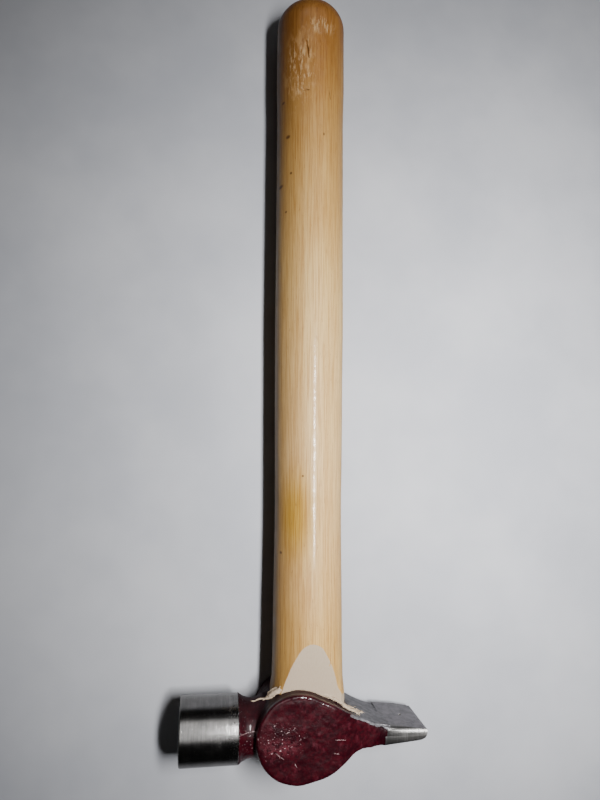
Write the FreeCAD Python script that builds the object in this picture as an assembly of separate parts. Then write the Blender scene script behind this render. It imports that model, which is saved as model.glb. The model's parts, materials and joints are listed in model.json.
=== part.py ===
# Cross-peen fitter's hammer: one forged steel head on a turned wooden handle, locked in the eye
# by a wooden wedge and two steel wedges. Units are millimetres.
#
# The hammer lies on one cheek. The origin is on that cheek, where the handle axis crosses the
# head axis: +X points to the peen, +Y along the handle to the butt, +Z up through the cheeks.

import FreeCAD
import Part
import math
import os

Vector = FreeCAD.Vector

# Head, along X from the striking face to the nose of the peen
cheek_half = 14.5            # half the distance across the cheeks, and the height of both axes
poll_radius = 12.5
striking_face_x = -49.3
poll_end_x = -27.2           # where the turned poll runs into the waist
poll_chamfer = 0.7
waist_radius = 10.4
waist_x = -22.8
boss_centre_x = -5.0
boss_radius = 15.8
boss_rim_round = 1.0
nose_x = 45.6
nose_half = 2.1              # half the thickness of the rounded nose edge
nose_centre_y = -1.3         # the peen lies a little to the outer side of the head axis
peen_radius = 11.0           # the turned sides of the peen
peen_shoulder_x = 29.6       # where the turned sides end in the neck
cheek_end_x = 13.0           # the level cheeks end here and fall to the neck
neck_half = 11.2             # half the neck's height along Z
neck_bend = (20.0, 12.2)     # (x, half height) half way down that fall
beyond = 60.0                # reach of cutting shapes, past any side of the head

# Eye, an oval hole along Y, narrowest at its waist
eye_length = 22.4            # along X
eye_width = 14.0             # along Z
eye_waist_y = 2.0
eye_inner_flare = 0.5        # added to both sizes at the handle's side
eye_outer_flare = 1.6        # added to both sizes at the wedged side
eye_reach = 17.5             # the cutter runs this far each way from the head axis

# Handle, along Y
shoulder_y = 10.0
shoulder_radius = 14.25
handle_stations = [          # (y, radius), slimmest a hand's width from the head
    (38.0, 13.8), (80.0, 13.5), (125.0, 13.85), (165.0, 14.15), (245.0, 14.15),
]
swell_start_y = 264.1        # the plain cylindrical swell at the butt
swell_radius = 14.45
butt_y = 304.2
butt_round = 9.5
butt_crown = 0.6
facet_start_y = 36.5         # the flats above the head start here
facet_end_y = 15.4
facet_end_half = 7.3
tongue_proud = 0.8           # the trimmed tongue stands this far out of the outer rim
kerf_width = 0.9
kerf_end_y = 8.0

# Wedges, driven from the outer side of the head
wood_wedge_length = 19.0     # along X
wood_wedge_thick = 3.6       # along Z, at the end it was cut off
wood_wedge_tip = 0.9
wood_wedge_tip_y = 4.0
steel_wedge_width = 11.0     # along Z
steel_wedge_thick = 2.4      # along X
steel_wedge_tip = 0.5
steel_wedge_tip_y = -3.0
steel_wedge_offset = 5.6     # each side of the handle axis, along X

touching = 1e-4              # points nearer than this are one point
axis_z = cheek_half
head_axis = Vector(0, 0, axis_z)
across = Vector(0, 0, 2 * cheek_half)


def line(start, end):
    return Part.LineSegment(start, end).toShape()


def arc(start, middle, end):
    return Part.Arc(start, middle, end).toShape()


def closed_wire(start, *stops):
    """Wire from start through the stops and back. A stop (middle, end) is reached by an arc."""
    edges, here = [], start
    for stop in stops:
        if isinstance(stop, tuple):
            middle, end = stop
            edges.append(arc(here, middle, end))
        else:
            end = stop
            edges.append(line(here, end))
        here = end
    if here.distanceToPoint(start) > touching:
        edges.append(line(here, start))
    return Part.Wire(edges)


def prism(wire, along):
    return Part.Face(wire).extrude(along)


def turned(wire, axis):
    """Solid of revolution of a wire about the head's or the handle's axis."""
    solid = Part.Face(wire).revolve(Vector(0, 0, 0), axis, 360)
    solid.translate(head_axis)
    return solid


def rounded_outline(corners):
    """Closed wire through (corner, radius) pairs, each corner replaced by a tangent arc."""
    starts, ends, arcs = [], [], []
    for index, (corner, radius) in enumerate(corners):
        back = (corners[index - 1][0] - corner).normalize()
        ahead = (corners[(index + 1) % len(corners)][0] - corner).normalize()
        half_angle = back.getAngle(ahead) / 2
        reach = radius / math.tan(half_angle)
        inward = (back + ahead).normalize()
        start, end = corner + back * reach, corner + ahead * reach
        middle = corner + inward * (radius / math.sin(half_angle) - radius)
        starts.append(start)
        ends.append(end)
        arcs.append(arc(start, middle, end))
    edges = []
    for index, edge in enumerate(arcs):
        following = starts[(index + 1) % len(starts)]
        edges.append(edge)
        if ends[index].distanceToPoint(following) > touching:
            edges.append(line(ends[index], following))
    return Part.Wire(edges)


def boss_corner(first_angle, second_angle):
    """Where the boss circle's tangents at two angles, in degrees, meet."""
    middle = math.radians((first_angle + second_angle) / 2)
    reach = boss_radius / math.cos(math.radians(second_angle - first_angle) / 2)
    return Vector(boss_centre_x + reach * math.cos(middle), reach * math.sin(middle), 0)


def on_boss_tangent(angle, x):
    """The point at x on the boss circle's tangent at an angle in degrees."""
    turn = math.radians(angle)
    y = (boss_radius - (x - boss_centre_x) * math.cos(turn)) / math.sin(turn)
    return Vector(x, y, 0)


def head_outline(grow=0.0):
    """Outline of the boss, neck and peen seen across the cheeks, grown outwards by a distance."""
    top, left, bottom = 65, 180, 285
    wire = rounded_outline([
        (boss_corner(top, left), boss_radius),
        (boss_corner(left, bottom), boss_radius),
        (on_boss_tangent(bottom, 7.3), 14.0),
        (Vector(17.7, -4.85, 0), 9.0),
        (Vector(31.0, -5.3, 0), 30.0),
        (Vector(nose_x, nose_centre_y - nose_half, 0), nose_half - 0.05),
        (Vector(nose_x, nose_centre_y + nose_half, 0), nose_half - 0.05),
        (on_boss_tangent(top, 25.2), 30.0),
    ])
    return wire.makeOffset2D(grow) if grow else wire


def cheek_plan():
    """All that lies between the cheeks, seen along the handle: level over the boss, then falling."""
    def at(x, half, side):
        return Vector(x, -beyond, axis_z + side * half)

    bend_x, bend_half = neck_bend
    neck_x = peen_shoulder_x - 4
    return prism(closed_wire(
        at(-beyond, cheek_half, -1),
        at(-beyond, cheek_half, 1),
        at(cheek_end_x, cheek_half, 1),
        (at(bend_x, bend_half, 1), at(neck_x, neck_half, 1)),
        at(beyond, neck_half, 1),
        at(beyond, neck_half, -1),
        at(neck_x, neck_half, -1),
        (at(bend_x, bend_half, -1), at(cheek_end_x, cheek_half, -1)),
    ), Vector(0, 2 * beyond, 0))


def poll_and_waist():
    root_radius = poll_radius - 0.6
    inner_x = boss_centre_x - boss_radius / 2
    return turned(closed_wire(
        Vector(striking_face_x, 0, 0),
        Vector(striking_face_x, poll_radius - poll_chamfer, 0),
        Vector(striking_face_x + poll_chamfer, poll_radius, 0),
        Vector(poll_end_x, poll_radius, 0),
        (Vector(waist_x, waist_radius, 0), Vector(poll_end_x + 9.2, root_radius, 0)),
        Vector(inner_x, root_radius, 0),
        Vector(inner_x, 0, 0),
    ), Vector(1, 0, 0))


def peen_envelope():
    """What the lathe leaves of the neck and the peen, with room for all of the boss."""
    return turned(closed_wire(
        Vector(-beyond, 0, 0),
        Vector(-beyond, beyond, 0),
        Vector(cheek_end_x - 1, beyond, 0),
        Vector(cheek_end_x + 7, 15.5, 0),
        (Vector(peen_shoulder_x - 6.1, 12.2, 0), Vector(peen_shoulder_x, peen_radius, 0)),
        Vector(beyond, peen_radius, 0),
        Vector(beyond, 0, 0),
    ), Vector(1, 0, 0))


def oval_wire(length, width, y):
    """Oval with round ends, in a plane across the handle."""
    straight, end = (length - width) / 2, width / 2
    return closed_wire(
        Vector(-straight, y, axis_z + end),
        Vector(straight, y, axis_z + end),
        (Vector(straight + end, y, axis_z), Vector(straight, y, axis_z - end)),
        Vector(-straight, y, axis_z - end),
        (Vector(-straight - end, y, axis_z), Vector(-straight, y, axis_z + end)),
    )


def eye_solid():
    waist = oval_wire(eye_length, eye_width, eye_waist_y)
    inner = oval_wire(eye_length + eye_inner_flare, eye_width + eye_inner_flare, eye_reach)
    outer = oval_wire(eye_length + eye_outer_flare, eye_width + eye_outer_flare, -eye_reach)
    return Part.makeLoft([outer, waist], True, True).fuse(Part.makeLoft([waist, inner], True, True))


def make_head(eye):
    slab = prism(head_outline(), across)
    rim = [edge for edge in slab.Edges
           if edge.BoundBox.ZLength < 0.01 and edge.BoundBox.XMin < cheek_end_x]
    forging = slab.makeFillet(boss_rim_round, rim).common(cheek_plan()).common(peen_envelope())
    return forging.fuse(poll_and_waist()).cut(eye).removeSplitter()


def shaft_solid():
    edge_y = butt_y - butt_crown - butt_round
    edge_radius = swell_radius - butt_round
    slant = math.sqrt(0.5) * butt_round
    sides = [Vector(radius, y, 0) for y, radius in [
        (shoulder_y, shoulder_radius),
        *handle_stations,
        (swell_start_y, swell_radius),
        (edge_y, swell_radius),
    ]]
    return turned(closed_wire(
        Vector(0, shoulder_y, 0),
        *sides,
        (Vector(edge_radius + slant, edge_y + slant, 0),
         Vector(edge_radius, butt_y - butt_crown, 0)),
        Vector(0, butt_y, 0),
    ), Vector(0, 1, 0))


def facet_cutter(side):
    """The wood shaved off one side of the handle above the head."""
    full = swell_radius
    slope = (full - facet_end_half) / (facet_start_y - facet_end_y)
    low_half = facet_end_half - slope * facet_end_y
    return prism(closed_wire(
        Vector(-beyond, 0, axis_z + side * low_half),
        Vector(-beyond, facet_start_y, axis_z + side * full),
        Vector(-beyond, 0, axis_z + side * full),
    ), Vector(2 * beyond, 0, 0))


def make_wood_wedge():
    half, tip, reach = wood_wedge_thick / 2, wood_wedge_tip / 2, wood_wedge_length / 2
    return prism(closed_wire(
        Vector(-reach, -eye_reach, axis_z - half),
        Vector(-reach, -eye_reach, axis_z + half),
        Vector(-reach, wood_wedge_tip_y, axis_z + tip),
        Vector(-reach, wood_wedge_tip_y, axis_z - tip),
    ), Vector(wood_wedge_length, 0, 0))


def make_steel_wedge(centre_x):
    half, tip = steel_wedge_thick / 2, steel_wedge_tip / 2
    low_z = axis_z - steel_wedge_width / 2
    return prism(closed_wire(
        Vector(centre_x - half, -eye_reach, low_z),
        Vector(centre_x + half, -eye_reach, low_z),
        Vector(centre_x + tip, steel_wedge_tip_y, low_z),
        Vector(centre_x - tip, steel_wedge_tip_y, low_z),
    ), Vector(0, 0, steel_wedge_width))


def make_kerf():
    """The saw cut that runs a little past the wooden wedge's tip."""
    corner = Vector(-wood_wedge_length / 2, wood_wedge_tip_y, axis_z - kerf_width / 2)
    return Part.makeBox(wood_wedge_length, kerf_end_y - wood_wedge_tip_y, kerf_width, corner)


def make_parts():
    eye = eye_solid()
    trimmed = prism(head_outline(tongue_proud), across)
    wood_wedge = make_wood_wedge().common(trimmed)
    steel_wedges = [make_steel_wedge(side * steel_wedge_offset).common(trimmed)
                    for side in (-1, 1)]

    shaft = shaft_solid().cut(facet_cutter(1)).cut(facet_cutter(-1))
    shaft = shaft.cut(prism(head_outline(), across))
    handle = shaft.fuse(eye.common(trimmed)).cut(wood_wedge).cut(make_kerf())
    for wedge in steel_wedges:
        handle = handle.cut(wedge)
        wood_wedge = wood_wedge.cut(wedge)
    return {
        "head": make_head(eye),
        "handle": handle.removeSplitter(),
        "wooden_wedge": wood_wedge,
        "steel_wedge_poll_side": steel_wedges[0],
        "steel_wedge_peen_side": steel_wedges[1],
    }


os.makedirs("parts", exist_ok=True)
for name, shape in make_parts().items():
    box = shape.optimalBoundingBox(False)
    print(f"{name}: valid {shape.isValid()}, solids {len(shape.Solids)}, volume {shape.Volume:.0f}, "
          f"x {box.XMin:.2f} {box.XMax:.2f}, y {box.YMin:.2f} {box.YMax:.2f}, "
          f"z {box.ZMin:.2f} {box.ZMax:.2f}")
    shape.exportStep(f"parts/{name}.step")
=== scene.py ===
import json
import math
import random

import bpy
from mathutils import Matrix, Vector, noise

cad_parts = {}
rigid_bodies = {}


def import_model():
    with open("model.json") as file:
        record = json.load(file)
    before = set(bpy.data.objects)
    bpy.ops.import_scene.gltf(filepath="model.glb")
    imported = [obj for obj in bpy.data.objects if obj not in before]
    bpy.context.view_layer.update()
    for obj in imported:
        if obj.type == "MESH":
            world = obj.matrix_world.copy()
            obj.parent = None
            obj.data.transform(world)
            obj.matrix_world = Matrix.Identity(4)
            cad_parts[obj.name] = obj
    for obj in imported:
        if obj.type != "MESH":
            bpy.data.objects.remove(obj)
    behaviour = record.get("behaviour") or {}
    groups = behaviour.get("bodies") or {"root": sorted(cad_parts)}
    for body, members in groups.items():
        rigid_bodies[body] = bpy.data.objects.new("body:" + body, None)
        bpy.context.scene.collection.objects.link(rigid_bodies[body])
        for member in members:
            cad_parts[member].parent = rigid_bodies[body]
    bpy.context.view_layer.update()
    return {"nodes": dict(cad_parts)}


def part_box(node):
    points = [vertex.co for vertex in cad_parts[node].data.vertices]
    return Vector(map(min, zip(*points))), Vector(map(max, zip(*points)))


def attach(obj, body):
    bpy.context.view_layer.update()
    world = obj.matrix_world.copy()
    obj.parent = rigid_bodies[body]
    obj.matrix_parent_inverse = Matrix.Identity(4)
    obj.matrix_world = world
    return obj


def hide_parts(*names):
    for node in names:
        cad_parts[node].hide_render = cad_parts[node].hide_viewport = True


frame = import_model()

mm = 0.001
headLow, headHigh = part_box("head")
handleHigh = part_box("handle")[1]
axisZ = (headLow.z + headHigh.z) / 2              # height of the head's and the handle's axes
axisPoint = Vector((0, 0, axisZ))                 # where the two axes cross


# small helpers for working on a mesh by operators

def pickOnly(piece):
    bpy.ops.object.select_all(action="DESELECT")
    piece.select_set(True)
    bpy.context.view_layer.objects.active = piece


def openMesh(piece):
    pickOnly(piece)
    bpy.ops.object.mode_set(mode="EDIT")
    bpy.ops.mesh.select_mode(type="VERT")
    bpy.ops.mesh.select_all(action="SELECT")


def closeMesh():
    bpy.ops.object.mode_set(mode="OBJECT")


def chooseFaces(piece, wanted):                   # wanted(centre, normal), in mm from the axes' crossing
    bpy.ops.mesh.select_mode(type="FACE")
    bpy.ops.mesh.select_all(action="DESELECT")
    closeMesh()
    for face in piece.data.polygons:
        face.select = wanted((face.center - axisPoint) / mm, face.normal)
    bpy.ops.object.mode_set(mode="EDIT")


def chooseEdges(piece, wanted):                   # wanted(one end, other end), in the same measure
    bpy.ops.mesh.select_mode(type="EDGE")
    bpy.ops.mesh.select_all(action="DESELECT")
    closeMesh()
    corners = piece.data.vertices
    for edge in piece.data.edges:
        edge.select = wanted(*((corners[index].co - axisPoint) / mm for index in edge.vertices))
    bpy.ops.object.mode_set(mode="EDIT")


def named(name):
    piece = bpy.context.object
    piece.name = name
    piece.data.name = name
    return piece


def settle(piece):                                # its place and turn go into the mesh
    pickOnly(piece)
    bpy.ops.object.transform_apply(location=True, rotation=True, scale=True)


def applyModifier(piece, kind, **settings):
    modifier = piece.modifiers.new(kind.lower(), kind)
    for name, value in settings.items():
        setattr(modifier, name, value)
    pickOnly(piece)
    bpy.ops.object.modifier_apply(modifier=modifier.name)


def combine(piece, other, operation):             # uses the other piece up
    applyModifier(piece, "BOOLEAN", operation=operation, object=other, solver="MANIFOLD")
    bpy.data.objects.remove(other)


def mend(piece, distance=0.004):                  # merges doubles and points the faces outwards
    openMesh(piece)
    bpy.ops.mesh.remove_doubles(threshold=distance * mm)
    bpy.ops.mesh.normals_make_consistent(inside=False)
    closeMesh()


def dropCrumbs(piece):                            # only what hangs together with its far end stays
    openMesh(piece)
    bpy.ops.mesh.select_all(action="DESELECT")
    closeMesh()
    max(piece.data.vertices, key=lambda vertex: vertex.co.y).select = True
    bpy.ops.object.mode_set(mode="EDIT")
    bpy.ops.mesh.select_linked()
    bpy.ops.mesh.select_all(action="INVERT")
    bpy.ops.mesh.delete(type="VERT")
    closeMesh()


def copyOfNode(node, name):
    pickOnly(frame["nodes"][node])
    bpy.ops.object.duplicate()
    piece = named(name)
    piece.parent = None
    for key in list(piece.keys()):
        del piece[key]
    piece.data.materials.clear()
    mend(piece)
    return piece


def cutAway(piece, place, normal):                # closes the cut; what lies ahead of it goes
    openMesh(piece)
    bpy.ops.mesh.bisect(plane_co=axisPoint + Vector(place) * mm, plane_no=normal, clear_outer=True,
                        use_fill=True)
    closeMesh()


def reshape(piece, change):                       # change(place, normal) gives a move, all in mm
    mesh = piece.data
    normals = [vertex.normal.copy() for vertex in mesh.vertices]
    for vertex, normal in zip(mesh.vertices, normals):
        vertex.co += change((vertex.co - axisPoint) / mm, normal) * mm
    mesh.update()


def smoothStep(low, high, value):
    share = min(1.0, max(0.0, (value - low) / (high - low)))
    return share * share * (3 - 2 * share)


def swell(place, size, seed=0.0):                 # smooth noise from about -1 to 1, size in mm
    return noise.noise(place / size + Vector((seed, 0.7 * seed, -seed)))


def paint(piece, *materials):
    piece.data.materials.clear()
    for material in materials:
        piece.data.materials.append(material)


def shadeByAngle(piece, degrees):
    pickOnly(piece)
    bpy.ops.object.shade_smooth_by_angle(angle=math.radians(degrees))


def colour(red, green, blue):                     # a screen colour, 0 to 255, as a linear one
    def linear(value):
        share = value / 255
        return share / 12.92 if share < 0.04045 else ((share + 0.055) / 1.055) ** 2.4
    return (linear(red), linear(green), linear(blue), 1)


# materials, written as expressions

class Wire:                                       # one output of a node
    def __init__(self, tree, socket=None):
        self.tree = tree
        self.socket = socket

    def node(self, kind, settings=None, inputs=None, output=0):
        made = self.tree.nodes.new(kind)
        for name, value in (settings or {}).items():
            if name == "stops":
                stops = made.color_ramp.elements
                while len(stops) < len(value):
                    stops.new(1.0)
                for stop, (position, shade) in zip(stops, value):
                    stop.position = position
                    stop.color = shade
            else:
                setattr(made, name, value)
        for name, value in (inputs or {}).items():
            if isinstance(value, Wire):
                self.tree.links.new(value.socket, made.inputs[name])
            else:
                made.inputs[name].default_value = value
        return Wire(self.tree, made.outputs[output])

    def reckon(self, operation, *values):
        return self.node("ShaderNodeMath", {"operation": operation}, dict(enumerate(values)))

    def __add__(self, other):
        return self.reckon("ADD", self, other)

    def __radd__(self, other):
        return self.reckon("ADD", other, self)

    def __sub__(self, other):
        return self.reckon("SUBTRACT", self, other)

    def __rsub__(self, other):
        return self.reckon("SUBTRACT", other, self)

    def __mul__(self, other):
        return self.reckon("MULTIPLY", self, other)

    def __rmul__(self, other):
        return self.reckon("MULTIPLY", other, self)

    def __truediv__(self, other):
        return self.reckon("DIVIDE", self, other)

    def larger(self, other):
        return self.reckon("MAXIMUM", self, other)

    def size(self):
        return self.reckon("ABSOLUTE", self)

    def root(self):
        return self.reckon("SQRT", self)

    def step(self, low, high):                    # 0 before low, 1 past high, smooth between
        return self.node("ShaderNodeMapRange", {"interpolation_type": "SMOOTHSTEP"},
                         {"Value": self, "From Min": low, "From Max": high})

    def between(self, first, second):             # from the first colour to the second
        return self.node("ShaderNodeMix", {"data_type": "RGBA"}, {0: self, 6: first, 7: second}, 2)

    def times(self, other):                       # a colour times a colour
        return self.node("ShaderNodeMix", {"data_type": "RGBA", "blend_type": "MULTIPLY"},
                         {0: 1.0, 6: self, 7: other}, 2)

    def vector(self, operation, other):
        return self.node("ShaderNodeVectorMath", {"operation": operation}, {0: self, 1: other})

    def parts(self):
        made = self.node("ShaderNodeSeparateXYZ", {}, {0: self}).socket.node
        return [Wire(self.tree, plug) for plug in made.outputs]

    def stretched(self, along, shift=(0, 0, 0)):
        return self.node("ShaderNodeMapping", {"vector_type": "POINT"},
                         {"Vector": self, "Scale": along, "Location": shift})

    def cloud(self, scale, detail=2.0, rough=0.5):
        return self.node("ShaderNodeTexNoise", {}, {"Vector": self, "Scale": scale,
                                                    "Detail": detail, "Roughness": rough})

    def spotAt(self, centre, reach, soft=0.5):    # 1 at a point, 0 past its reach on each axis
        away = self.vector("SUBTRACT", centre).vector("DIVIDE", reach)
        distance = away.node("ShaderNodeVectorMath", {"operation": "LENGTH"}, {0: away}, 1)
        return 1 - distance.step(1 - soft, 1 + soft)


def largest(wires):
    first, *others = wires
    for wire in others:
        first = first.larger(wire)
    return first


def newFinish(name, **constants):                 # a material, its shader and its mm coordinates
    material = bpy.data.materials.new(name)
    material.use_nodes = True
    tree = material.node_tree
    shader = tree.nodes["Principled BSDF"]
    for socket, value in constants.items():
        shader.inputs[socket.replace("_", " ")].default_value = value
    start = Wire(tree)
    metres = start.node("ShaderNodeTexCoord", output=3).vector("SUBTRACT", axisPoint)
    return material, shader, metres.vector("MULTIPLY", (1 / mm, 1 / mm, 1 / mm))


def feed(shader, **wires):
    for socket, wire in wires.items():
        wire.tree.links.new(wire.socket, shader.inputs[socket.replace("_", " ")])


def relief(height, depth, strength=1.0):          # depth in mm
    return height.node("ShaderNodeBump", {}, {
        "Strength": strength, "Distance": depth * mm, "Height": height})


# camera, light and floor

camera = {
    "place": (-0.03910, 0.10529, 0.26435),
    "turn": (5.160, -8.132, 0.3985),              # degrees
    "lens": 27.634,
}

studio = {
    "keyPlace": (0.074, 0.110, 0.350),
    "keySize": (0.030, 0.170),
    "keyPower": 0.88,
    "keySpread": 92,                             # degrees, narrowed as by a softbox grid
    "fillPlace": (-0.70, 0.10, 0.10),
    "fillSize": (0.9, 0.12),
    "fillPower": 0.05,
    "frontPlace": (0.05, -0.75, 0.10),
    "frontPower": 0.10,
    "skyGlow": 1.45,                              # what bare metal sees overhead
    "skyDark": 0.010,
    "skyAmbient": 0.004,
    "skyLean": ((-22, 0), (42, 58)),              # degrees past overhead where the glow comes and goes
    "skyAside": (0.45, 0.9),                      # and how far it reaches to the sides
    "backdrop": colour(196, 198, 203),
    "floorSize": 5.0,
    "bounceHush": 0.75,                           # shares of the table's light held back from the
    "shineHush": 0.40,                            # hammer's dull sides and from its bright steel
    "floorNear": 320,                             # mm, where the table starts to melt into the backdrop
    "floorFar": 1000,
    "floorMiddle": 150,                           # along the handle, from the head
}


def makeCamera():
    data = bpy.data.cameras.new("camera")
    data.lens = camera["lens"]
    data.clip_start = 0.01
    made = bpy.data.objects.new("camera", data)
    bpy.context.collection.objects.link(made)
    made.location = camera["place"]
    made.rotation_euler = [math.radians(angle) for angle in camera["turn"]]
    bpy.context.scene.camera = made


def makeLamp(name, place, size, power, target=None, spread=180, shine=True):
    data = bpy.data.lights.new(name, "AREA")
    data.shape = "RECTANGLE"
    data.size, data.size_y = size
    data.energy = power
    data.spread = math.radians(spread)
    made = bpy.data.objects.new(name, data)
    bpy.context.collection.objects.link(made)
    made.location = place
    if target:
        made.rotation_euler = (Vector(target) - Vector(place)).to_track_quat("-Z", "Y").to_euler()
    made.visible_glossy = shine
    return made


def makeSky():
    world = bpy.data.worlds.new("room")
    world.use_nodes = True
    bpy.context.scene.world = world
    tree = world.node_tree
    start = Wire(tree)
    ray = start.node("ShaderNodeLightPath").socket.node
    seen, shiny = (Wire(tree, ray.outputs[name]) for name in ("Is Camera Ray", "Is Glossy Ray"))
    x, y, z = start.node("ShaderNodeTexCoord", output=0).parts()
    lean = y.reckon("ARCTAN2", y, z) * (180 / math.pi)      # degrees from overhead towards the butt
    aside = x.size() / (y * y + z * z).root()
    comes, goes = studio["skyLean"]
    overhead = lean.step(*comes) * (1 - lean.step(*goes))
    overhead = overhead * z.step(0.0, 0.1) * (1 - aside.step(*studio["skyAside"]))
    glow = overhead * (studio["skyGlow"] - studio["skyDark"]) + studio["skyDark"]
    strength = shiny * glow + (1 - shiny) * studio["skyAmbient"]
    shade = seen.between((1, 1, 1, 1), studio["backdrop"])
    background = tree.nodes["Background"]
    feed(background, Color=shade, Strength=seen + (1 - seen) * strength)


def makeFloor():
    bpy.ops.object.select_all(action="DESELECT")
    bpy.ops.mesh.primitive_plane_add(size=studio["floorSize"], location=(0, 0, 0))
    floor = named("floor")
    material, shader, place = newFinish("paleTable", Specular_IOR_Level=0.3)
    mottle = place.cloud(0.012, 4, 0.6)
    pale = mottle.step(0.3, 0.7).between(colour(178, 180, 187), colour(197, 198, 203))
    ray = place.node("ShaderNodeLightPath").socket.node
    seen, dull, shiny = (Wire(place.tree, ray.outputs[name])
                         for name in ("Is Camera Ray", "Is Diffuse Ray", "Is Glossy Ray"))
    x, y = place.parts()[:2]
    along = y - studio["floorMiddle"]
    away = (x * x + along * along).root().step(studio["floorNear"], studio["floorFar"])
    hush = dull * studio["bounceHush"] + shiny * studio["shineHush"]
    feed(shader,
         Base_Color=(hush + seen * away).between(pale, (0, 0, 0, 1)),
         Emission_Color=(seen * away).between((0, 0, 0, 1), studio["backdrop"]),
         Roughness=mottle * 0.15 + 0.5)
    shader.inputs["Emission Strength"].default_value = 1.0
    paint(floor, material)


makeCamera()
makeLamp("key", studio["keyPlace"], studio["keySize"], studio["keyPower"], spread=studio["keySpread"])
fills = [
    makeLamp("sideFill", studio["fillPlace"], studio["fillSize"], studio["fillPower"],
             (0, 0.1, 0.02), shine=False),
    makeLamp("frontFill", studio["frontPlace"], studio["fillSize"], studio["frontPower"],
             (0, 0, 0.02), shine=False),
]
makeSky()
makeFloor()
print("camera, light and floor are set")


# metal finishes

def steelColour(place):
    cloud = place.cloud(0.25, 4, 0.6)
    return cloud.step(0.3, 0.75).between((0.235, 0.23, 0.225, 1), (0.33, 0.32, 0.31, 1))


def turnedSteel():
    material, shader, place = newFinish("turnedSteel", Metallic=1.0)
    x = place.parts()[0]
    rings = place.stretched((1, 0.02, 0.02)).cloud(3.0, 4, 0.75)      # tool marks, round the axis
    hair = place.stretched((1, 0.12, 0.12)).cloud(9.0, 2, 0.6)
    handled = place.cloud(0.16, 5, 0.62)
    atPaint = x.step(-32.0, -28.0) * (1 - x.step(0, 1))
    onPeen = x.step(20, 25)                       # rougher from the belt
    pits = (place.cloud(1.9, 2, 0.5) + atPaint * 0.11).step(0.70, 0.76)
    worn = (0.15, 0.146, 0.14, 1)
    steel = (rings.step(0.40, 0.62) * 0.45 + 0.55).between(worn, steelColour(place))
    feed(shader,
         Base_Color=pits.between(steel, colour(52, 48, 45)),
         Roughness=0.13 + rings * 0.12 + handled.step(0.45, 0.75) * 0.10 + pits * 0.2 + onPeen * 0.16,
         Normal=relief(rings * 0.8 + hair * 0.6 - pits * 0.3, 0.036, 1.0))
    return material


def groundSteel():                                # the peen's flats: dull, rubbed by a coarse belt
    material, shader, place = newFinish("groundSteel", Metallic=1.0)
    scratches = place.stretched((0.10, 1, 1)).cloud(5.0, 3, 0.7)
    grime = place.cloud(0.35, 5, 0.65)
    feed(shader,
         Base_Color=grime.step(0.35, 0.72).between((0.29, 0.277, 0.29, 1), (0.185, 0.18, 0.19, 1)),
         Roughness=0.42 + scratches * 0.16 + grime * 0.10,
         Normal=relief(scratches * 0.6 + grime * 1.6, 0.06, 1.0))
    return material


# head: one forging, enamelled between its turned poll and its ground peen

head = {
    "voxel": 0.40,                                # mm, as are all lengths here
    "enamel": 0.16,
    "lumpSize": 5.0,
    "lump": 0.14,
    "pimpleSize": 1.5,
    "pimple": 0.045,
    "crest": 0.45,                                # fuller along the edge towards the handle
    "pollRadius": 12.5,
    "pollEnd": -27.3,                             # where the enamel begins
    "chamfer": 0.7,
    "faceCrown": ((2.5, 0.05), (4.0, 0.07), (3.0, 0.03)),      # inset, rise
    "peenStart": 29.8,                            # where the enamel ends again
    "pollOverlap": 1.2,                           # how far the forging runs on under the turned ends
    "peenOverlap": 1.0,
    "peenBack": 0.9,                              # and the peen back into the forging
    "peenRadius": 11.0,
    "cheekFall": (6.5, 25.6),
    "neckHalf": 11.2,
    "bossX": -5.0,
    "bossRadius": 15.8,
    "shoulderAngle": 65,                          # of the boss's tangent down to the neck
    "flatX": 25.2,                                # where that tangent meets the peen's inner flat
    "noseHalf": 2.1,
    "noseY": -1.3,
    "outerFlatX": 31.0,
    "outerFlatY": -4.75,
    "flatTilt": 3.0,                              # degrees, the inner flat falls towards its upper side
    "dotX": 37.8,
    "dotRadius": 0.75,
    "dotRaise": 0.25,
    "peenAxisY": -1.6,
    "edgeY": 1.2,
    "edgeZ": 10.7,
    "edgeNormal": (0.0227, 0.894, 0.447),         # the flat's upper edge falls away towards the neck
    "edgeFlats": ((27, 0.20), (39, 0.27), (51, 0.20)),         # degrees, depth, to round it
    "noseRounding": ((1, 1.0), (-1, 2.6)),        # side, radius
    "noseSteps": 8,
    "nicks": ((-12.2, -4.8, 14.5, 4.6, -36), (10.8, -0.4, 14.5, 4.8, -8), (9.0, -5.0, 14.2, 2.8, -10),
              (-23.6, 2.5, 11.0, 9.5, 7), (-9.5, 3.4, 14.5, 2.2, 25), (-6.2, -8.4, 14.5, 2.0, -60)),
}


def shoulderLines():                              # inner outline of the neck: two lines, y = a + b x
    turn = math.radians(head["shoulderAngle"])
    steep = -math.cos(turn) / math.sin(turn)
    first = (head["bossRadius"] / math.sin(turn) - steep * head["bossX"], steep)
    bendY = first[0] + steep * head["flatX"]
    noseX, noseY = headHigh.x / mm, head["noseY"] + head["noseHalf"]
    slope = (noseY - bendY) / (noseX - head["flatX"])
    return first, (bendY - slope * head["flatX"], slope)


shoulderLine, flatLine = shoulderLines()


def enamelled(place):                             # 1 under enamel, 0 on bare steel, ragged between
    ragged = 0.55 * swell(place, 1.7, 3) + 0.35 * swell(place, 0.8, 5)
    fromPoll = smoothStep(-0.45, 0.45, place.x - head["pollEnd"] + ragged)
    corner = smoothStep(0.4, 3.0, place.y)
    return fromPoll * smoothStep(-0.4, 0.4, head["peenStart"] - 3.2 * corner - place.x + 0.25 * ragged)


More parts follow.
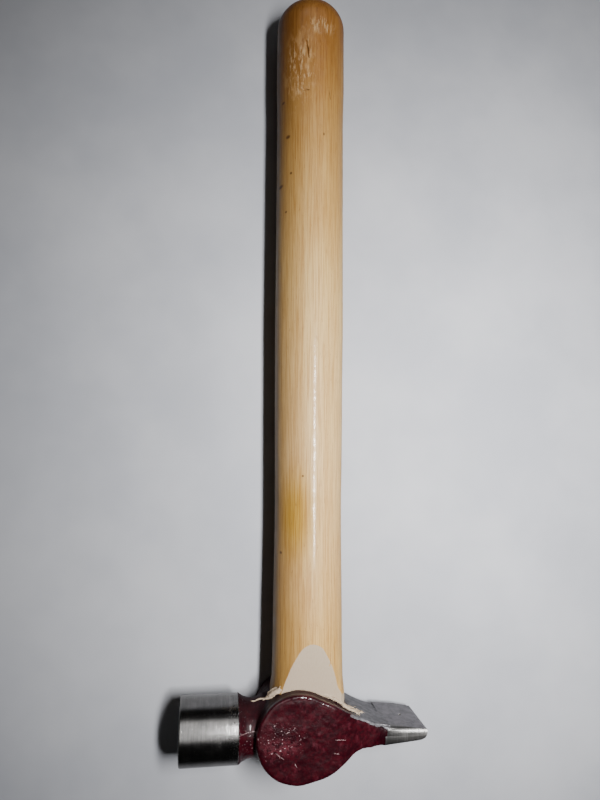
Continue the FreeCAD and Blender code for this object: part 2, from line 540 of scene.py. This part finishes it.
def enamelMove(place, normal):
    cover = enamelled(place)
    inEye = smoothStep(10.9, 11.6, abs(place.x)) + smoothStep(6.6, 7.4, abs(place.z))
    inEye = min(1.0, inEye + smoothStep(12.5, 14.0, abs(place.y)))
    rough = head["lump"] * swell(place, head["lumpSize"], 11)
    rough += head["pimple"] * swell(place, head["pimpleSize"], 17)
    rough += 0.03 * swell(place, 0.8, 23)
    crest = smoothStep(0.2, 0.8, normal.y) * smoothStep(-20, -13, place.x) * smoothStep(15, 8, place.x)
    thick = (head["enamel"] + rough + head["crest"] * crest) * cover - 0.35 * (1 - cover)
    outline = max(a + b * place.x for a, b in (shoulderLine, flatLine))
    ground = smoothStep(-1.0, -0.4, place.y - outline) * smoothStep(14, 17, place.x)
    thick += (-0.04 - thick) * ground             # no enamel where the belt ran off the peen
    return normal * thick * inEye


def easeCheek(place, normal):                     # lets the level cheek run down into the neck
    start, end = head["cheekFall"]
    height = axisZ / mm
    ceiling = height - (height - head["neckHalf"]) * smoothStep(start, end, place.x)
    return Vector((0, 0, math.copysign(max(0, abs(place.z) - ceiling), -place.z)))


def makeForging():
    forging = copyOfNode("head", "forging")
    applyModifier(forging, "REMESH", mode="VOXEL", voxel_size=head["voxel"] * mm, adaptivity=0.0)
    reshape(forging, easeCheek)
    applyModifier(forging, "SMOOTH", factor=0.5, iterations=4)
    reshape(forging, enamelMove)
    cutAway(forging, (head["pollEnd"] - head["pollOverlap"], 0, 0), (-1, 0, 0))
    cutAway(forging, (head["peenStart"] + head["peenOverlap"], 0, 0), (1, 0, 0))
    return forging


def makePoll():
    bpy.ops.object.select_all(action="DESELECT")
    faceX = headLow.x / mm
    length = head["pollEnd"] - faceX
    bpy.ops.mesh.primitive_cylinder_add(
        vertices=192, radius=head["pollRadius"] * mm, depth=length * mm,
        location=axisPoint + Vector((faceX + length / 2, 0, 0)) * mm, rotation=(0, math.pi / 2, 0))
    poll = named("poll")
    settle(poll)
    openMesh(poll)
    chooseEdges(poll, lambda a, b: max(a.x, b.x) < faceX + 0.01)
    bpy.ops.mesh.bevel(offset=head["chamfer"] * mm, segments=3, profile=0.55, affect="EDGES")
    chooseFaces(poll, lambda place, normal: normal.x < -0.99)
    for inset, crown in head["faceCrown"]:
        bpy.ops.mesh.inset(thickness=inset * mm)
        bpy.ops.transform.translate(value=(-crown * mm, 0, 0))
    chooseFaces(poll, lambda place, normal: normal.x > 0.99)
    bpy.ops.mesh.extrude_region_move(TRANSFORM_OT_translate={"value": (4 * mm, 0, 0)})
    bpy.ops.transform.resize(value=(1, 0.7, 0.7), center_override=axisPoint)
    closeMesh()
    mend(poll)
    return poll


def makePeen():
    bpy.ops.object.select_all(action="DESELECT")
    noseX = headHigh.x / mm
    backX = head["peenStart"] - head["peenBack"]
    bpy.ops.mesh.primitive_cylinder_add(
        vertices=192, radius=head["peenRadius"] * mm, depth=(noseX - backX) * mm,
        location=axisPoint + Vector(((noseX + backX) / 2, head["peenAxisY"], 0)) * mm,
        rotation=(0, math.pi / 2, 0))
    peen = named("peen")
    settle(peen)
    tilt = math.tan(math.radians(head["flatTilt"]))
    cutAway(peen, (0, flatLine[0], 0), (-flatLine[1], 1, tilt))
    outerSlope = (head["noseY"] - head["noseHalf"] - head["outerFlatY"]) / (noseX - head["outerFlatX"])
    cutAway(peen, (head["outerFlatX"], head["outerFlatY"], 0), (outerSlope, -1, 0))
    edge = Vector((head["peenStart"], head["edgeY"], head["edgeZ"]))
    cutAway(peen, edge, head["edgeNormal"])
    for degrees, depth in head["edgeFlats"]:
        turn = math.radians(degrees)
        outward = Vector((head["edgeNormal"][0], math.sin(turn), math.cos(turn)))
        cutAway(peen, edge - outward * depth, outward)
    for side, rounding in head["noseRounding"]:   # the nose's two edges, rounded by narrow flats
        middle = Vector((noseX - rounding, head["noseY"] + side * (head["noseHalf"] - rounding), 0))
        for step in range(head["noseSteps"]):
            turn = math.radians(8 + 10 * step)
            outward = Vector((math.cos(turn), side * math.sin(turn), 0))
            cutAway(peen, middle + outward * rounding, outward)
    mend(peen)
    bpy.ops.object.select_all(action="DESELECT")
    dotY = flatLine[0] + flatLine[1] * head["dotX"]
    bpy.ops.mesh.primitive_uv_sphere_add(
        segments=24, ring_count=14, radius=head["dotRadius"] * mm,
        location=axisPoint + Vector((head["dotX"], dotY + head["dotRaise"], 0)) * mm)
    dot = named("dot")
    settle(dot)
    combine(peen, dot, "DIFFERENCE")              # a plain centre-punch mark
    return peen


def scratchGlintMarks(place):                          # short nicks in the enamel, slightly dented, their pale tint a painted highlight
    wobble = place.cloud(1.4, 2, 0.5) * 0.7 - 0.35
    broken = place.cloud(2.4, 2, 0.6).step(0.38, 0.56)
    marks = []
    for x, y, z, length, turn in head["nicks"]:
        away = place.vector("SUBTRACT", (x, y, z))
        away = away.node("ShaderNodeVectorRotate", {"rotation_type": "Z_AXIS"},
                         {"Vector": away, "Angle": -math.radians(turn)})
        along, across, off = away.parts()
        mark = 1 - (across + wobble).size().step(0.06, 0.20)
        mark = mark * (1 - along.size().step(length * 0.3, length * 0.5))
        marks.append(mark * (1 - off.size().step(2, 3)) * broken)
    return largest(marks)


def enamelFinish():
    material, shader, place = newFinish("burgundyEnamel", Coat_Roughness=0.10, Coat_IOR=1.5,
                                        Specular_IOR_Level=0.12)
    x, y, z = place.parts()
    shoulder = x * shoulderLine[1] + shoulderLine[0]
    flat = x * flatLine[1] + flatLine[0]
    outline = shoulder.larger(flat)
    ragged = place.cloud(0.9, 4, 0.65) - 0.5
    bareFlank = (y - outline + 0.9 + ragged * 1.6).step(-0.15, 0.15) * (x + ragged * 6).step(14.0, 17.5)
    pastPoll = 1 - (x + ragged * 1.2).step(head["pollEnd"] - 0.15, head["pollEnd"] + 0.15)
    grain = place.cloud(2.2, 3, 0.6)
    paintEnd = head["peenStart"] - y.step(0.4, 3.0) * 3.2
    pastPaint = (x - paintEnd + ragged * 0.4).step(-0.12, 0.12)
    chips = place.cloud(1.3, 2, 0.5).step(0.66, 0.70) * (1 - x.step(-27.5, -22.0))
    bare = largest([bareFlank, pastPoll, chips, pastPaint])

    mottle = place.cloud(0.20, 4, 0.6)
    blotch = place.cloud(0.85, 4, 0.6)
    red = (mottle * 0.5 + blotch * 0.5).step(0.40, 0.64).between(colour(36, 1, 9), colour(60, 5, 17))
    # painted reflection: soft streaks of paler pink laid into the enamel's colour, standing in for the
    # overhead glow caught by its lumps
    paintedSheen = place.stretched((1.0, 0.6, 1.0), (3, 5, 0)).cloud(0.42, 5, 0.62).step(0.54, 0.74)
    red = (paintedSheen * 0.45).between(red, colour(100, 42, 54))
    # painted reflection: a paler pink patch left of the boss's middle, where the enamel's lumps catch the
    # glow
    paintedSheenPatch = place.spotAt((-12.0, -1.8, 14.5), (5.5, 2.6, 4.0), 0.7) * blotch.step(0.35, 0.65)
    red = (paintedSheenPatch * 0.5).between(red, colour(116, 52, 62))
    # painted shade: the enamel darkens over the last few mm before the peen, on the neck's flank that
    # faces away from the key light
    red = ((x - paintEnd).step(-5.0, -1.0) * 0.6).between(red, colour(20, 2, 7))
    rim = (y - 2).step(0, 8) * (1 - z.step(12.0, 13.2))       # duller and browner towards the handle
    red = (rim * 0.7).between(red, colour(40, 21, 25))
    scratches = scratchGlintMarks(place)
    gritty = place.spotAt((-15.0, 0.5, 13.0), (11.0, 6.0, 8.0), 0.4)
    # painted highlight: the nicks are tinted near-white pink to stand in for the glints they catch; only
    # their slight dent is real
    red = (scratches * 0.7).between(red, colour(196, 168, 168))
    # painted highlight: sparse near-white specks in the gritty patch stand in for glints off the grit
    flecksAndGlints = place.cloud(1.25, 2, 0.5).step(0.655, 0.70) * gritty
    red = (flecksAndGlints * 0.8).between(red, colour(190, 160, 162))
    dull = place.cloud(0.5, 4, 0.6).step(0.3, 0.7)
    steel = dull.between((0.15, 0.147, 0.155, 1), (0.26, 0.253, 0.264, 1))
    orange = place.cloud(0.34, 2, 0.5)
    grit = place.cloud(1.5, 2, 0.6) * gritty
    feed(shader,
         Base_Color=bare.between(red, steel),
         Metallic=bare * 0.9,
         Roughness=bare * 0.10 + rim * 0.2 + 0.36 + mottle * 0.12,
         Coat_Weight=(1 - bare) * (1 - rim * 0.8) * (mottle * 0.5 + 0.25),
         Normal=relief(orange * 0.7 + blotch * 0.10 + grain * 0.05 + grit * 0.75 - scratches * 0.1
                       - bare * 0.3, 0.42, 0.9))
    return material


def makeHead():
    forging, poll, peen = makeForging(), makePoll(), makePeen()
    finishes = enamelFinish(), turnedSteel(), groundSteel()
    for piece in (forging, poll, peen):
        paint(piece, *finishes)
    for face in poll.data.polygons:
        face.material_index = 1
    for face in peen.data.polygons:
        face.material_index = 2 if abs(face.normal.y) > 0.8 and abs(face.normal.z) < 0.3 else 1
    combine(forging, poll, "UNION")
    combine(forging, peen, "UNION")
    forging.name = forging.data.name = "hammerHead"
    mend(forging, 0.002)
    shadeByAngle(forging, 38)
    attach(forging, "root")
    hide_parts("head")
    print("head:", len(forging.data.polygons), "faces")
    return forging


headPiece = makeHead()


# wood finishes

def woodGrain(place):                             # fine lines along the handle, broader bands under them
    wander = place.stretched((1, 0.02, 1)).cloud(0.12, 2, 0.5)
    bands = place.stretched((1, 0.012, 1), (0.3, 0, 0.1)).cloud(0.55, 3, 0.6) + wander * 0.4
    lines = place.stretched((1, 0.018, 1)).cloud(2.6, 4, 0.72)
    pores = place.stretched((1, 0.09, 1)).cloud(3.4, 2, 0.5).step(0.66, 0.74)
    return bands, lines, pores


def varnishedWood():
    material, shader, place = newFinish("varnishedWood", Coat_Roughness=0.13, Coat_IOR=1.45,
                                        Specular_IOR_Level=0.2)
    x, y = place.parts()[:2]
    bands, lines, pores = woodGrain(place)
    drift = place.stretched((1, 0.35, 1)).cloud(0.07, 3, 0.6) - 0.5
    along = (y + drift * 70) / (handleHigh.y / mm)          # 0 at the head, 1 at the butt
    shades = along.node("ShaderNodeValToRGB", {"stops": (
        (0.00, colour(214, 172, 100)),
        (0.09, colour(218, 178, 108)),
        (0.22, colour(218, 180, 120)),
        (0.34, colour(226, 192, 136)),
        (0.58, colour(218, 184, 122)),
        (0.70, colour(200, 162, 98)),
        (0.82, colour(184, 142, 80)),
        (0.93, colour(162, 114, 56)),
        (1.00, colour(132, 84, 38)),
    )}, {0: along})
    wood = (bands.step(0.45, 0.85) * 0.35).between(shades, shades.times(colour(216, 194, 164)))
    wood = (lines.step(0.42, 0.62) * 0.65).between(wood, wood.times(colour(204, 182, 148)))
    # painted shade: the wood is darkened along the handle's left side, away from the key light
    paintedSideShade = 1 - (x + drift * 6).step(-12.0, 3.0)
    wood = (paintedSideShade * 0.8).between(wood, wood.times(colour(208, 200, 192)))
    stain = place.spotAt((-6.5, 82, 12), (6.5, 15, 9), 0.8) * (lines * 0.7 + 0.6)
    wood = (stain * 0.9).between(wood, wood.times(colour(222, 210, 110)))
    wood = (pores * 0.5).between(wood, wood.times(colour(150, 112, 78)))

    worn = place.stretched((1.0, 0.22, 1.0)).cloud(0.85, 5, 0.72)
    region = place.spotAt((-6.0, 264, 12), (6.0, 15, 8), 0.7).larger(
        place.spotAt((2.0, 283, 13), (7.0, 4, 6), 0.7))
    scuffs = (worn + region * 0.12).step(0.60, 0.74) * region
    wood = (scuffs * 0.55).between(wood, colour(226, 192, 144))
    patches = place.stretched((1.0, 0.5, 1.0), (2, 0, 0)).cloud(0.32, 4, 0.6).step(0.50, 0.66) * region
    wood = (patches * 0.4).between(wood, colour(214, 172, 118))
    specks = largest(place.spotAt((x, y, z), (size, size * stretch, 3))
                     for x, y, z, size, stretch in handle["specks"])
    wood = (specks * 0.8).between(wood, colour(70, 38, 20))
    thin = place.cloud(0.30, 5, 0.7).step(0.38, 0.60) * 0.8 + 0.2      # varnish rubbed thin in places
    ripple = place.stretched((1, 0.25, 1)).cloud(0.30, 3, 0.6)
    height = lines * 0.55 + bands * 0.2 - pores * 0.5 + worn * scuffs * 0.6 + ripple * 1.2
    feed(shader,
         Base_Color=wood,
         Roughness=0.42 + lines * 0.10 + scuffs * 0.2,
         Coat_Weight=(0.40 - scuffs * 0.35) * thin,
         Normal=relief(height, 0.09, 1.0))
    return material


def bareWood():
    material, shader, place = newFinish("bareWood")
    x, y, z = place.parts()
    lines, pores = woodGrain(place)[1:]
    ripple = (x * x + z * z).root() * 3.0 + place.cloud(0.1, 2, 0.5) * 9
    rings = ripple.reckon("SINE", ripple)         # year rings on the tongue's end
    endGrain = 1 - y.step(-12.5, -11.5)
    wood = (lines.step(0.40, 0.70) * 0.35).between(colour(192, 172, 148), colour(176, 152, 126))
    wood = (place.cloud(0.35, 4, 0.7).step(0.55, 0.8) * 0.35).between(wood, colour(196, 160, 128))
    cut = (rings * 0.5 + 0.5).between(colour(176, 142, 104), colour(148, 112, 78))
    cut = (place.cloud(2.5, 2, 0.6).step(0.5, 0.7) * 0.5).between(cut, colour(104, 74, 52))
    wood = endGrain.between(wood, cut)
    feed(shader,
         Base_Color=wood,
         Roughness=0.62 + lines * 0.2,
         Normal=relief(lines * 0.8 - pores * 0.4 + place.cloud(3.0, 2, 0.6) * 0.4, 0.09, 1.0))
    return material


# handle: one turned shaft with two flats shaved above the head, its tongue locked in the eye

handle = {
    "segments": 144,
    "foot": 5.5,                                  # the shaft is modelled from here, hidden in the head
    "stations": ((5.5, 14.25), (38, 13.8), (80, 13.5), (125, 13.85), (165, 14.15), (245, 14.15),
                 (264.1, 14.45), (289.2, 14.45)),
    "spacing": ((5.5, 42.0, 0.6), (42.0, 245.0, 1.6), (245.0, 289.2, 0.75)),   # from, to, ring spacing
    "buttRound": 10.8,
    "crown": 1.9,
    "buttSteps": 16,
    "unevenness": 0.07,
    "facetStart": 34.6,
    "facetEnd": 15.4,
    "facetHalf": 8.9,
    "facetRipple": 0.09,
    "tongueTop": 9.8,
    "varnishEnd": 13,
    "cuts": ((-3.4, 272.2, 4.2, 0.36, 0.9, 8.0),  # x, y, half length, half width, depth, turn
             (6.2, 253.5, 3.4, 0.20, 0.5, 16.0),
             (-4.3, 254.8, 3.1, 0.26, 0.6, 84.0),
             (7.3, 27.4, 4.3, 0.17, 0.5, -9.0)),
    "specks": ((-10.6, 236.1, 9.4, 0.75, 1.0),    # x, y, z, size, stretch
               (3.6, 236.3, 13.7, 0.35, 1.6),
               (-9.4, 220.2, 10.6, 0.40, 1.3),
               (-13.0, 216.2, 5.8, 0.80, 0.9),
               (-11.1, 204.4, 8.8, 0.35, 1.2),
               (-4.1, 97.6, 13.6, 0.40, 1.0),
               (-11.7, 67.7, 8.0, 0.40, 1.4),
               (-12.4, 252.0, 6.4, 0.45, 1.2)),
}


def radiusAt(y):
    stations = handle["stations"]
    for (startY, startRadius), (endY, endRadius) in zip(stations, stations[1:]):
        if y <= endY:
            return startRadius + (endRadius - startRadius) * smoothStep(startY, endY, y)
    return stations[-1][1]


def shaftProfile():                               # (y, radius) from the foot to the butt's middle
    rings = []
    for start, end, spacing in handle["spacing"]:
        count = round((end - start) / spacing)
        rings += [start + (end - start) * step / count for step in range(count)]
    profile = [(y, radiusAt(y)) for y in rings]
    edgeY, edgeRadius = handle["stations"][-1]
    rounding = handle["buttRound"]
    for step in range(handle["buttSteps"] + 1):
        turn = math.radians(90 * step / handle["buttSteps"])
        profile.append((edgeY + rounding * math.sin(turn),
                        edgeRadius - rounding + rounding * math.cos(turn)))
    flatRadius = profile[-1][1]
    for share in (0.66, 0.33, 0):
        crown = handle["crown"] * (1 - share * share)
        profile.append((edgeY + rounding + crown, flatRadius * share))
    return profile


def unevenShaft(place, normal):
    outward = Vector((place.x, 0, place.z))
    if outward.length < 1:
        return Vector((0, 0, 0))
    move = handle["unevenness"] * swell(Vector((place.x, place.y * 0.35, place.z)), 9, 31)
    move += 0.03 * swell(place, 2.5, 37)
    crush = smoothStep(21, 13, place.y) if place.y < 21 else 0.0       # upset by the boss's edge
    move += crush * (0.35 + 0.8 * swell(Vector((place.x, place.y * 0.3, place.z)), 2.2, 41))
    dented = smoothStep(20, 6, abs(place.y - 268)) * smoothStep(8, 12, place.z) if place.z > 8 else 0.0
    move += dented * 0.14 * swell(place, 2.2, 43)
    return outward.normalized() * move


def makeShaft():
    bpy.ops.object.select_all(action="DESELECT")
    profile = shaftProfile()
    bpy.ops.mesh.primitive_plane_add(size=mm, location=axisPoint)
    shaft = named("handleShaft")
    settle(shaft)
    openMesh(shaft)
    bpy.ops.mesh.merge(type="CENTER")
    bpy.ops.transform.translate(value=Vector((0, profile[0][0], 0)) * mm)
    lastRadius, lastY = 0, profile[0][0]
    for y, radius in profile:
        step = Vector((radius - lastRadius, y - lastY, 0)) * mm
        bpy.ops.mesh.extrude_region_move(TRANSFORM_OT_translate={"value": step})
        lastRadius, lastY = radius, y
    bpy.ops.mesh.select_all(action="SELECT")
    bpy.ops.mesh.spin(steps=handle["segments"], angle=2 * math.pi, center=axisPoint, axis=(0, 1, 0))
    closeMesh()
    mend(shaft)
    reshape(shaft, unevenShaft)
    return shaft


def facetTool(side):                              # rippled flat that shaves one side of the shaft
    rise = radiusAt(handle["facetStart"]) - handle["facetHalf"]
    run = handle["facetStart"] - handle["facetEnd"]
    slope = math.atan2(rise, run)
    middle = Vector((0, handle["facetEnd"], side * handle["facetHalf"]))
    bpy.ops.object.select_all(action="DESELECT")
    bpy.ops.mesh.primitive_grid_add(x_subdivisions=60, y_subdivisions=70, size=1,
                                    location=axisPoint + middle * mm, rotation=(side * slope, 0, 0))
    tool = named("facetTool")
    tool.scale = (36 * mm, 52 * mm, 1)
    settle(tool)
    reshape(tool, lambda place, normal: normal * handle["facetRipple"] * (
        swell(Vector((place.x, place.y * 0.15, 0)), 2.4, 47 + side)
        + 0.8 * swell(Vector((place.x * 0.4, place.y, 0)), 5.0, 53)))
    openMesh(tool)
    bpy.ops.mesh.extrude_region_move(TRANSFORM_OT_translate={"value": (0, 0, side * 30 * mm)})
    bpy.ops.mesh.select_all(action="SELECT")
    bpy.ops.mesh.normals_make_consistent(inside=False)
    closeMesh()
    return tool


def scratchTool(x, y, halfLength, halfWidth, depth, turn):
    height = math.sqrt(max(0, radiusAt(y) ** 2 - x * x))
    bpy.ops.object.select_all(action="DESELECT")
    bpy.ops.mesh.primitive_uv_sphere_add(segments=16, ring_count=10, radius=mm,
                                         location=axisPoint + Vector((x, y, height)) * mm)
    tool = named("scratchTool")
    tool.scale = (halfWidth, halfLength, depth)
    tool.rotation_euler = (0, math.atan2(x, height), math.radians(turn))
    settle(tool)
    return tool


# splinters torn up where the boss bit into the shaft: points (x, y, z) and the radius at each

splinters = {
    "large": (
        (((5.0, 14.4, 8.2), (9.5, 12.4, 8.6), (12.6, 10.4, 9.4), (14.8, 9.0, 10.0), (17.0, 8.0, 9.8),
          (19.0, 7.1, 9.2)),
         (0.35, 0.5, 0.65, 0.65, 0.5, 0.2)),
        (((11.0, 12.0, 7.2), (13.4, 10.0, 8.4), (15.6, 8.7, 9.0), (18.0, 7.6, 8.9), (21.0, 6.5, 8.4)),
         (0.4, 0.55, 0.5, 0.35, 0.12)),
        (((14.2, 9.4, 7.6), (17.0, 8.2, 8.0), (19.5, 7.2, 7.9), (22.2, 6.3, 8.5)), (0.3, 0.35, 0.25, 0.1)),
        (((15.8, 8.6, 9.6), (17.6, 7.5, 10.3), (19.8, 6.5, 9.9)), (0.25, 0.28, 0.1)),
        (((-8.0, 17.8, 8.2), (-11.5, 16.2, 8.3), (-14.0, 15.4, 7.6), (-15.8, 13.9, 7.0)),
         (0.5, 0.9, 0.95, 0.5)),
        (((-11.0, 17.0, 7.0), (-13.5, 16.0, 6.2), (-15.6, 14.4, 5.4), (-16.6, 13.0, 5.6)),
         (0.6, 0.9, 0.8, 0.3)),
        (((-13.4, 14.2, 6.8), (-15.4, 13.0, 6.4), (-17.0, 12.9, 6.0), (-18.2, 12.2, 6.2)),
         (0.7, 0.6, 0.5, 0.2)),
        (((-14.0, 13.6, 5.4), (-16.6, 12.6, 5.8), (-19.4, 12.6, 5.2), (-21.2, 11.6, 5.6),
          (-22.6, 11.9, 5.0)),
         (0.5, 0.4, 0.30, 0.26, 0.12)),
        (((-9.0, 18.6, 8.2), (-11.4, 18.2, 8.0), (-12.6, 16.6, 8.3)), (0.3, 0.45, 0.2)),
    ),
    "small": 170,
    "smallLength": (0.8, 2.4),
    "smallRadius": (0.10, 0.26),
    "seed": 8,
    "voxel": 0.20,
}


def shoulderY(x):                                 # where the boss's flank stands at x
    turn = math.radians(90 - head["shoulderAngle"])
    if x > head["bossX"] + head["bossRadius"] * math.sin(turn):
        return shoulderLine[0] + shoulderLine[1] * x
    return math.sqrt(max(0.1, head["bossRadius"] ** 2 - (x - head["bossX"]) ** 2))


def makeSplinters():
    data = bpy.data.curves.new("tornFibres", "CURVE")
    data.dimensions = "3D"
    data.bevel_depth = mm
    data.bevel_resolution = 2
    data.use_fill_caps = True
    data.resolution_u = 5
    fibres = bpy.data.objects.new("tornFibres", data)
    bpy.context.collection.objects.link(fibres)
    strands = list(splinters["large"])
    chance = random.Random(splinters["seed"])
    for count in range(splinters["small"]):
        x = chance.uniform(-15.0, 20.0)
        side = 1 if chance.random() < 0.8 else -1
        height = min(8.3, math.sqrt(max(1, 14.0 ** 2 - x * x))) * chance.uniform(0.80, 1.02)
        if x > 12:                                # among the lip beside the neck
            height = chance.uniform(7.6, 10.0)
        start = Vector((x, shoulderY(x) + chance.uniform(0.1, 1.1), side * height))
        length = chance.uniform(*splinters["smallLength"])
        along = Vector((chance.uniform(-1, 1), chance.uniform(-0.3, 0.5), side * chance.uniform(0.0, 0.5)))
        bend = Vector((chance.uniform(-0.3, 0.3), chance.uniform(0, 0.3), side * chance.uniform(0, 0.4)))
        radius = chance.uniform(*splinters["smallRadius"])
        direction = along.normalized() * length
        strands.append(((start, start + direction * 0.5 + bend, start + direction + bend * 1.5),
                        (radius, radius * 0.8, radius * 0.25)))
    for points, radii in strands:
        spline = data.splines.new("NURBS")
        spline.points.add(len(points) - 1)
        for point, place, radius in zip(spline.points, points, radii):
            point.co = (axisPoint + Vector(place) * mm).to_4d()
            point.radius = radius
        spline.order_u = 3
        spline.use_endpoint_u = True
    pickOnly(fibres)
    bpy.ops.object.convert(target="MESH")
    applyModifier(fibres, "REMESH", mode="VOXEL", voxel_size=splinters["voxel"] * mm, adaptivity=0.0)
    reshape(fibres, lambda place, normal: normal * (
        0.22 * swell(Vector((place.x * 0.35, place.y, place.z)), 0.8, 61)
        + 0.12 * swell(Vector((place.x * 0.5, place.y, place.z)), 0.4, 67)))
    return fibres


def makeHandle(headPiece):
    shaft = makeShaft()
    tools = [facetTool(1), facetTool(-1)]
    finishes = varnishedWood(), bareWood()
    paint(shaft, *finishes)
    for tool in tools + [scratchTool(*cut) for cut in handle["cuts"]]:
        paint(tool, *finishes)
        for face in tool.data.polygons:
            face.material_index = 1 if tool.name.startswith("facet") else 0
        combine(shaft, tool, "DIFFERENCE")
    applyModifier(shaft, "BOOLEAN", operation="DIFFERENCE", object=headPiece, solver="MANIFOLD",
                  material_mode="INDEX")
    tongue = copyOfNode("handle", "tongue")
    cutAway(tongue, (0, handle["tongueTop"], 0), (0, 1, 0))
    fibres = makeSplinters()
    for part in (tongue, fibres):
        paint(part, *finishes)
        for face in part.data.polygons:
            face.material_index = 1
        combine(shaft, part, "UNION")
    dropCrumbs(shaft)
    mend(shaft, 0.002)
    for face in shaft.data.polygons:              # no varnish below the shoulder
        if face.material_index > 1 or face.center.y / mm < handle["varnishEnd"]:
            face.material_index = 1
    shadeByAngle(shaft, 35)
    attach(shaft, "root")
    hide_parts("handle")
    print("handle:", len(shaft.data.polygons), "faces")
    return shaft


handlePiece = makeHandle(headPiece)


# wedges driven into the tongue from outside

def wedgeWood():
    material, shader, place = newFinish("wedgeWood", Roughness=0.7)
    fibres = place.stretched((0.25, 0.2, 1)).cloud(4.0, 3, 0.65)
    flecksAndGlints = place.cloud(3.0, 2, 0.6).step(0.58, 0.7)
    feed(shader,
         Base_Color=(flecksAndGlints * 0.4).between(fibres.between(colour(196, 158, 112), colour(150, 110, 72)),
                                           colour(96, 66, 44)),
         Normal=relief(fibres * 0.8 - flecksAndGlints * 0.4, 0.1, 1.0))
    return material


def wedgeSteel():
    material, shader, place = newFinish("wedgeSteel", Metallic=0.95)
    hammered = place.cloud(0.9, 3, 0.6)
    rust = place.cloud(0.7, 4, 0.7).step(0.56, 0.68)
    feed(shader,
         Base_Color=rust.between((0.34, 0.335, 0.33, 1), colour(110, 70, 46)),
         Roughness=rust * 0.35 + hammered * 0.2 + 0.25,
         Normal=relief(hammered * 0.8 + rust * 0.2, 0.12, 1.0))
    return material


wedges = {                                        # struck: how unevenly the hammered end is upset
    "wooden_wedge": {
        "name": "woodenWedge", "bevel": 0.18, "slot": "wedge_wood", "struck": 0.25},
    "steel_wedge_poll_side": {
        "name": "steelWedgePoll", "bevel": 0.22, "slot": "bare_steel", "struck": 0.12},
    "steel_wedge_peen_side": {
        "name": "steelWedgePeen", "bevel": 0.22, "slot": "bare_steel", "struck": 0.12},
}


def makeWedge(node, settings, material):
    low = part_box(node)[0].y / mm

    def upset(place, normal):
        share = smoothStep(3, 0, place.y - low) * (1 if normal.y < -0.3 else 0.4)
        return Vector((0, settings["struck"] * share * swell(place, 1.6, 71), 0))

    piece = copyOfNode(node, settings["name"])
    applyModifier(piece, "BEVEL", width=settings["bevel"] * mm, segments=3, limit_method="ANGLE",
                  angle_limit=math.radians(40))
    openMesh(piece)
    chooseFaces(piece, lambda place, normal: normal.y < -0.7)
    bpy.ops.mesh.subdivide(number_cuts=3)
    closeMesh()
    reshape(piece, upset)
    paint(piece, material)
    shadeByAngle(piece, 40)
    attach(piece, "root")
    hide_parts(node)
    return piece


wedgeFinishes = {"wedge_wood": wedgeWood(), "bare_steel": wedgeSteel()}
wedgePieces = [makeWedge(node, settings, wedgeFinishes[settings["slot"]])
               for node, settings in wedges.items()]
print("wedges:", len(wedgePieces), "pieces")


def lightOnly(lamps, pieces):                     # the weak fills reach the hammer, not the table
    lit = bpy.data.collections.new("filled")
    for piece in pieces:
        lit.objects.link(piece)
    for lamp in lamps:
        lamp.light_linking.receiver_collection = lit


lightOnly(fills, [headPiece, handlePiece, *wedgePieces])
